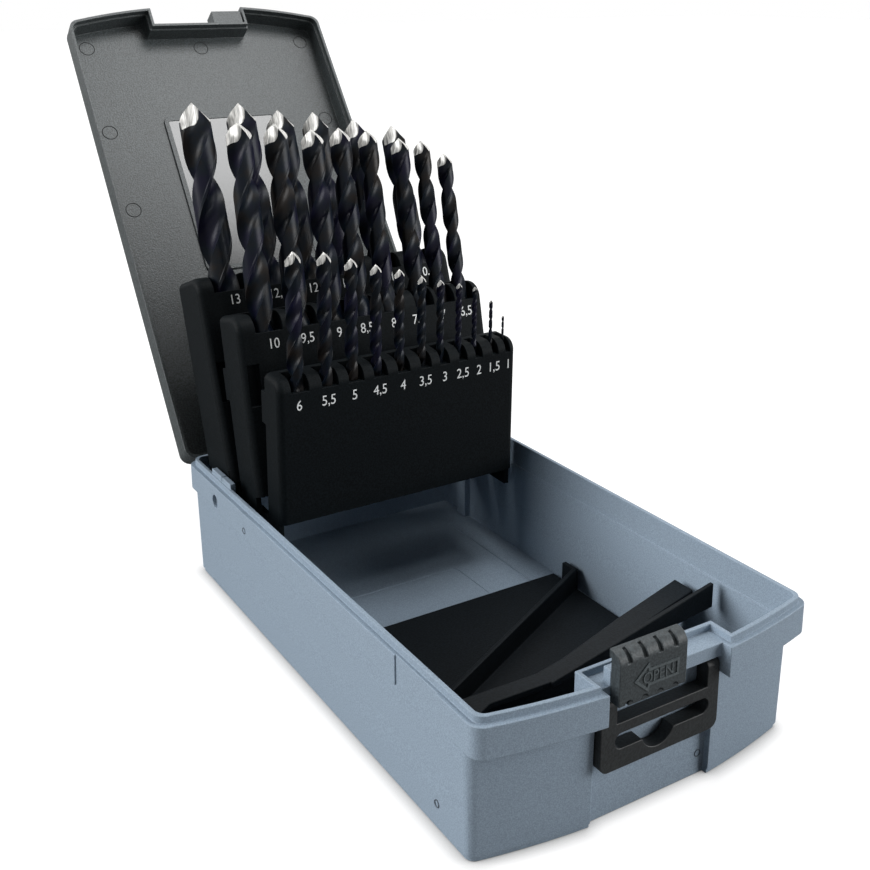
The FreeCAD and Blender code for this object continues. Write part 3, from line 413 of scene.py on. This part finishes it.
def twist_drill(node, body, axis, tip_turn):
    """A drill over its CAD node, whose foot, radius and length are read from the node.
    Side: point (k, i) has height z and angle section_i + 2 pi (z - length) / pitch, its
    reach going from the plain shank to the fluted section over the first part of the
    flute, and the last part of the flute is straight. Gash: rings from the gash's lower
    edge to the point, set in by its depth. Point: rings that shrink to the middle by s
    and rise as a cone, less the relief behind each cutting edge."""
    tip_rings, gash_rings, point_rings = 8, 8, 5
    source = frame["nodes"][node].data
    places = np.empty(3 * len(source.vertices))
    source.vertices.foreach_get("co", places)
    places = places.reshape(-1, 3)
    axis = np.array(axis)
    forth = np.cross(axis, (1, 0, 0))
    along, across, depth = places @ axis, places[:, 0], places @ forth
    radius = (across.max() - across.min()) / 2
    length = along.max() - along.min()
    foot = (np.array((1, 0, 0)) * (across.max() + across.min()) / 2
            + forth * (depth.max() + depth.min()) / 2 + axis * along.min())
    diameter = 2 * radius
    fluted_share = 0.7 - 0.347 / (1000 * diameter) ** 0.75
    flute_length = length * fluted_share
    angles, reaches, drops, gash = flute_section()
    section = radius * reaches
    ground_section = section - gash_depth * diameter * gash
    slope = point_slope + relief_slope * drops
    shoulder = length - tip_length * diameter
    plain = np.array([0.0, foot_chamfer * diameter, length - flute_length])
    ring_steps = math.ceil((shoulder - length + flute_length) / (ring_spacing * diameter))
    rings = np.linspace(length - flute_length, shoulder, ring_steps + 1)[1:]
    rise = np.linspace(0, 1, tip_rings + 1)[1:, None]
    edge_height = length - slope * ground_section
    gash_foot = edge_height - diameter * (gash_step + gash_height * gash)
    heights = np.concatenate([np.concatenate([plain, rings])[:, None] + 0 * section,
                              shoulder + rise * (gash_foot - shoulder)])
    deep = np.clip((heights - length + flute_length) / (flute_start_length * diameter), 0, 1)
    deep = deep * deep * (3 - 2 * deep)
    reach = radius + (section - radius) * deep
    reach[0] -= foot_chamfer * diameter
    rise = np.linspace(0, 1, gash_rings)[:, None]
    shrink = np.linspace(1, 0, point_rings + 2)[1:-1, None]
    gash_start = len(heights) - 1
    lip = gash_lip * diameter
    heights = np.concatenate([heights,
                              gash_foot + lip + rise * (edge_height - gash_foot - lip),
                              length - shrink * slope * ground_section])
    reach = np.concatenate([reach, ground_section + 0 * rise, shrink * ground_section])
    twist = np.minimum(2 * math.pi * (heights - length) / (helix_pitch * diameter),
                       -math.radians(straight_turn))
    turned = angles + math.radians(tip_turn) + twist
    grid = (foot + axis * heights[..., None]
            + np.array((1, 0, 0)) * (reach * np.cos(turned))[..., None]
            + forth * (reach * np.sin(turned))[..., None])
    rows, columns = reach.shape
    k = np.arange(rows - 1)[:, None] * columns
    i = np.arange(columns)[None, :]
    quads = np.stack([k + (i + 1) % columns, k + i, k + columns + i,
                      k + columns + (i + 1) % columns], axis=-1).reshape(-1, 4).tolist()
    around = np.arange(columns)
    last = (rows - 1) * columns
    top, bottom = rows * columns, rows * columns + 1
    fans = [[last + (a + 1) % columns, last + a, top] for a in around.tolist()]
    fans += [[a, (a + 1) % columns, bottom] for a in around.tolist()]
    mesh = bpy.data.meshes.new(node + "_ground")
    mesh.from_pydata(np.concatenate([grid.reshape(-1, 3), [foot + axis * length, foot]]).tolist(),
                     [], quads + fans)
    mesh.materials.append(drill_blue)
    mesh.materials.append(drill_bright_painted_reflection)
    ground = np.zeros(len(quads) + len(fans), dtype=np.int32)
    ground[(rows - 1 - len(shrink)) * columns:len(quads) + columns] = 1
    thinned = ((gash > 0) | (np.roll(gash, -1) > 0)).astype(np.int32)
    ground[gash_start * columns:(gash_start + len(rise)) * columns] = np.tile(thinned, len(rise))
    mesh.polygons.foreach_set("material_index", ground)
    mesh.shade_smooth()
    mesh.set_sharp_from_angle(angle=drill_crease)
    piece = bpy.data.objects.new(node + "_ground", mesh)
    bpy.context.scene.collection.objects.link(piece)
    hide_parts(node)
    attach(piece, body)
    return piece


drill_blue = blued_steel()
# The ground points' colour is partly painted reflection, bright from any angle.
drill_bright_painted_reflection = ground_steel()
for joint in frame["joints"]:
    if joint["parent"] in tip_turns and joint["type"] == "slide":
        twist_drill(joint["child"].replace("drill_", "drill_bit_"), joint["child"],
                    joint["axis"], tip_turns[joint["parent"]])

# The lid. A shallow moulded cover of charcoal plastic with a coarse leathery grain,
# with the round marks of the pins that push it out of its mould. The marks are coloured
# darker than the lid, as painted shade round each ring.
lid_hinge = np.array((0.0, 0.1065, 0.0480))
lid_turn = math.radians(-126.67)
lid_ceiling = 0.0577
lid_edge = 0.0002
ejector_radius = 0.0034
ejector_rise = 0.00018
ejector_places = [(-54.6, 204.8), (0.8, 203.2), (54.6, 204.8), (-54.6, 159.6), (0.8, 159.6),
                  (54.6, 159.6), (-53.6, 119.5), (53.6, 119.5)]


def on_lid(across, from_hinge, off_face):
    """A point on the lid's inner face: laid out on the shut lid, in metres from the
    hinge, then turned with the open lid about the hinge line."""
    shut = np.array((across, -from_hinge, lid_ceiling - lid_hinge[2] - off_face))
    return lid_hinge + np.array((shut[0],
                                 shut[1] * math.cos(lid_turn) - shut[2] * math.sin(lid_turn),
                                 shut[1] * math.sin(lid_turn) + shut[2] * math.cos(lid_turn)))


lid_plastic = grained_plastic("lid_charcoal", (0.038, 0.046, 0.048), 0.44, 1500, 0.00013, 0.50,
                              0.5)
# Darker than the lid: painted shade for the ejector marks' rings.
lid_mark_shade = grained_plastic("lid_mark_shade", (0.010, 0.012, 0.013), 0.6, 1500, 0.00005, 0.3,
                                 0.2)
lid = moulded("case_lid", "lid", lid_edge)
lid.data.materials.append(lid_plastic)
lid_face = on_lid(0, 0.1, 0.001) - on_lid(0, 0.1, 0)
for number, (across, from_hinge) in enumerate(ejector_places):
    mark = ring("lid_mark_%d" % number, on_lid(across / 1000, from_hinge / 1000, 0), lid_face,
                ejector_radius, ejector_rise, "lid", lid_mark_shade)

# The label window in the lid. A moulded frame of the lid's plastic holds a glossy
# clear sheet over a blank charcoal card.
frame_edge, sheet_edge = 0.0002, 0.0001
label_frame = moulded("label_frame", "lid", frame_edge)
label_frame.data.materials.append(lid_plastic)
label_film = grained_plastic("label_film", (0.012, 0.015, 0.017), 0.20, 400, 0.00001, 0.12, 0.6)
label_sheet = moulded("label_sheet", "lid", sheet_edge)
label_sheet.data.materials.append(label_film)

# The latch. A charcoal slider with four grip grooves over its nose, and a raised
# arrow with OPEN in it that shows which way it slides. The arrow and letters are
# coloured lighter than the slider, a painted highlight on their raised edges.
latch_edge = 0.0004
latch_face = -0.1139
arrow_line = 0.0008
arrow_rise = 0.0003
arrow_tip, arrow_barb, arrow_neck, arrow_end = -0.0151, -0.0098, -0.0094, 0.0014
arrow_level, arrow_half, shaft_half = 0.0491, 0.0047, 0.0027
legend_middle, legend_height, legend_width = -0.0062, 0.0036, 0.88
latch_plastic = grained_plastic("latch_charcoal", (0.034, 0.042, 0.046), 0.5, 1500, 0.00008, 0.3,
                                0.35)
latch = moulded("latch_slider", "latch", latch_edge)
latch.data.materials.append(latch_plastic)

arrow_corners = np.array([(arrow_tip, 0), (arrow_barb, -arrow_half), (arrow_neck, -shaft_half),
                          (arrow_end, -shaft_half), (arrow_end, shaft_half),
                          (arrow_neck, shaft_half), (arrow_barb, arrow_half)])
arrow_corners[:, 1] += arrow_level


def raised_outline(name, corners, line, rise, face, body, material):
    """A raised line round a closed outline on a face that looks along -y: the outline
    and one drawn in by line towards its middle, each at the face and at rise over it."""
    ahead = np.roll(corners, -1, axis=0) - corners
    ahead /= np.linalg.norm(ahead, axis=1)[:, None]
    behind = np.roll(ahead, 1, axis=0)
    inward = np.stack([-ahead[:, 1], ahead[:, 0]], axis=1)
    spread = 1 / np.maximum(1 + (ahead * behind).sum(axis=1), 0.25)[:, None]
    inner = corners + (inward + np.roll(inward, 1, axis=0)) * line * spread
    rows = [(corners, 0.0), (corners, rise), (inner, rise), (inner, 0.0)]
    grid = np.stack([np.stack([row[:, 0], np.full(len(row), face - out), row[:, 1]], axis=1)
                     for row, out in rows], axis=1)
    return surface(name, grid, body, material)


# Lighter than the slider: a painted highlight for the raised arrow and letters, not worn plastic.
raised_edge_highlight_plastic = grained_plastic("latch_raised_painted_highlight", (0.075, 0.090, 0.096), 0.5, 1500, 0.00004, 0.2,
                               0.35)
arrow = raised_outline("latch_arrow", arrow_corners, arrow_line, arrow_rise, latch_face, "latch",
                       raised_edge_highlight_plastic)
arrow.data.shade_flat()
legend = lettering("latch_legend", {"OPEN": (legend_middle, latch_face, arrow_level)},
                   legend_height, legend_width, arrow_rise, (1, 0, 0), np.array((0, 0, 1)), "latch",
                   raised_edge_highlight_plastic)

# The hanging loop. A charcoal frame on two stub axles, with a finger window and a
# hanging slot that widens to a round lobe for a nail.
hanger_edge = 0.0003
hanger_plastic = grained_plastic("hanger_charcoal", (0.012, 0.014, 0.015), 0.5, 1300, 0.00009,
                                 0.35, 0.35)
hanger = moulded("hanger", "hanger", hanger_edge)
hanger.data.materials.append(hanger_plastic)

# The studio. A white table under a white sky for the eye, three soft lamps, and the
# camera where the photographer stood. The table glows for the eye alone, and the glow
# fades close to the case, which leaves a thin shadow line under it.
floor_size = 6.0
glow_strength, glow_fade = 0.88, 0.005
table_top = -0.0002
lamp_aim = Vector((0.0, 0.03, 0.08))
table_white = bpy.data.materials.new("table_white")
table_white.use_nodes = True
table_nodes, table_links = table_white.node_tree.nodes, table_white.node_tree.links
table_shader = table_nodes["Principled BSDF"]
table_shader.inputs["Base Color"].default_value = (0.30, 0.30, 0.30, 1)
table_shader.inputs["Roughness"].default_value = 0.9
table_shader.inputs["Specular IOR Level"].default_value = 0.1
table_glow = table_nodes.new("ShaderNodeEmission")
table_both = table_nodes.new("ShaderNodeAddShader")
table_near = table_nodes.new("ShaderNodeAmbientOcclusion")
table_near.inputs["Distance"].default_value = glow_fade
table_near.samples = 8
table_dark = table_nodes.new("ShaderNodeMath")
table_dark.operation = "MULTIPLY"
table_dark.inputs[1].default_value = glow_strength
table_seen = table_nodes.new("ShaderNodeMixShader")
table_ray = table_nodes.new("ShaderNodeLightPath")
table_links.new(table_near.outputs["AO"], table_dark.inputs[0])
table_links.new(table_dark.outputs["Value"], table_glow.inputs["Strength"])
table_links.new(table_shader.outputs["BSDF"], table_both.inputs[0])
table_links.new(table_glow.outputs["Emission"], table_both.inputs[1])
table_links.new(table_ray.outputs["Is Camera Ray"], table_seen.inputs["Fac"])
table_links.new(table_shader.outputs["BSDF"], table_seen.inputs[1])
table_links.new(table_both.outputs["Shader"], table_seen.inputs[2])
table_links.new(table_seen.outputs["Shader"], table_nodes["Material Output"].inputs["Surface"])
floor_mesh = bpy.data.meshes.new("floor")
floor_mesh.from_pydata([(-floor_size, -floor_size, table_top), (floor_size, -floor_size, table_top),
                        (floor_size, floor_size, table_top), (-floor_size, floor_size, table_top)],
                       [], [(0, 1, 2, 3)])
floor_mesh.materials.append(table_white)
floor = bpy.data.objects.new("floor", floor_mesh)
bpy.context.scene.collection.objects.link(floor)

sky = bpy.data.worlds.new("sky_white")
bpy.context.scene.world = sky
sky.use_nodes = True
sky_nodes, sky_links = sky.node_tree.nodes, sky.node_tree.links
sky_seen = sky_nodes["Background"]
sky_seen.inputs["Color"].default_value = (1, 1, 1, 1)
sky_fill = sky_nodes.new("ShaderNodeBackground")
sky_fill.inputs["Color"].default_value = (0.95, 0.98, 1, 1)
sky_fill.inputs["Strength"].default_value = 0.04
sky_ray = sky_nodes.new("ShaderNodeLightPath")
sky_eye = sky_nodes.new("ShaderNodeMath")
sky_eye.operation = "MAXIMUM"
sky_any = sky_nodes.new("ShaderNodeMath")
sky_any.operation = "MAXIMUM"
sky_mix = sky_nodes.new("ShaderNodeMixShader")
sky_links.new(sky_ray.outputs["Is Camera Ray"], sky_eye.inputs[0])
sky_links.new(sky_ray.outputs["Is Glossy Ray"], sky_eye.inputs[1])
sky_links.new(sky_eye.outputs["Value"], sky_any.inputs[0])
sky_links.new(sky_ray.outputs["Is Transmission Ray"], sky_any.inputs[1])
sky_links.new(sky_any.outputs["Value"], sky_mix.inputs["Fac"])
sky_links.new(sky_fill.outputs["Background"], sky_mix.inputs[1])
sky_links.new(sky_seen.outputs["Background"], sky_mix.inputs[2])
sky_links.new(sky_mix.outputs["Shader"], sky_nodes["World Output"].inputs["Surface"])


def soft_lamp(name, kind, direction, distance, size, power):
    """A soft lamp in that direction from the case and facing it. A near lamp is a square
    panel of that size in metres, and a far one a round glow of that many degrees."""
    lamp = bpy.data.lights.new(name, kind)
    if kind == "AREA":
        lamp.size = size
    else:
        lamp.angle = math.radians(size)
    lamp.energy = power
    holder = bpy.data.objects.new(name, lamp)
    bpy.context.scene.collection.objects.link(holder)
    away = Vector(direction).normalized()
    holder.location = lamp_aim + away * distance
    holder.rotation_euler = away.to_track_quat("Z", "Y").to_euler()
    return holder


soft_lamp("lamp_left", "SUN", (-1.0, 0.35, 0.50), 2.0, 40, 3.4)
soft_lamp("lamp_right_front", "SUN", (0.80, -0.62, 0.22), 2.0, 40, 2.9)
soft_lamp("lamp_overhead", "AREA", (0.25, -0.05, 0.80), 0.75, 0.30, 3)

camera_place = Vector((-0.21281, -0.33242, 0.23605))
camera_right = Vector((0.849069, -0.528277, -0.002124))
camera_down = Vector((-0.138981, -0.219493, -0.965664))
camera_forward = Vector((0.509672, 0.820201, -0.259786))
camera_lens = bpy.data.cameras.new("camera")
camera_lens.sensor_width = 36.0
camera_lens.lens = 49.185
camera_lens.shift_x = -0.0091
camera_lens.shift_y = -0.1526
camera_lens.clip_start = 0.01
camera = bpy.data.objects.new("camera", camera_lens)
bpy.context.scene.collection.objects.link(camera)
camera_turn = Matrix((camera_right, -camera_down, -camera_forward)).transposed()
camera.matrix_world = Matrix.Translation(camera_place) @ camera_turn.to_4x4()
bpy.context.scene.camera = camera
bpy.context.scene.view_settings.view_transform = "Standard"
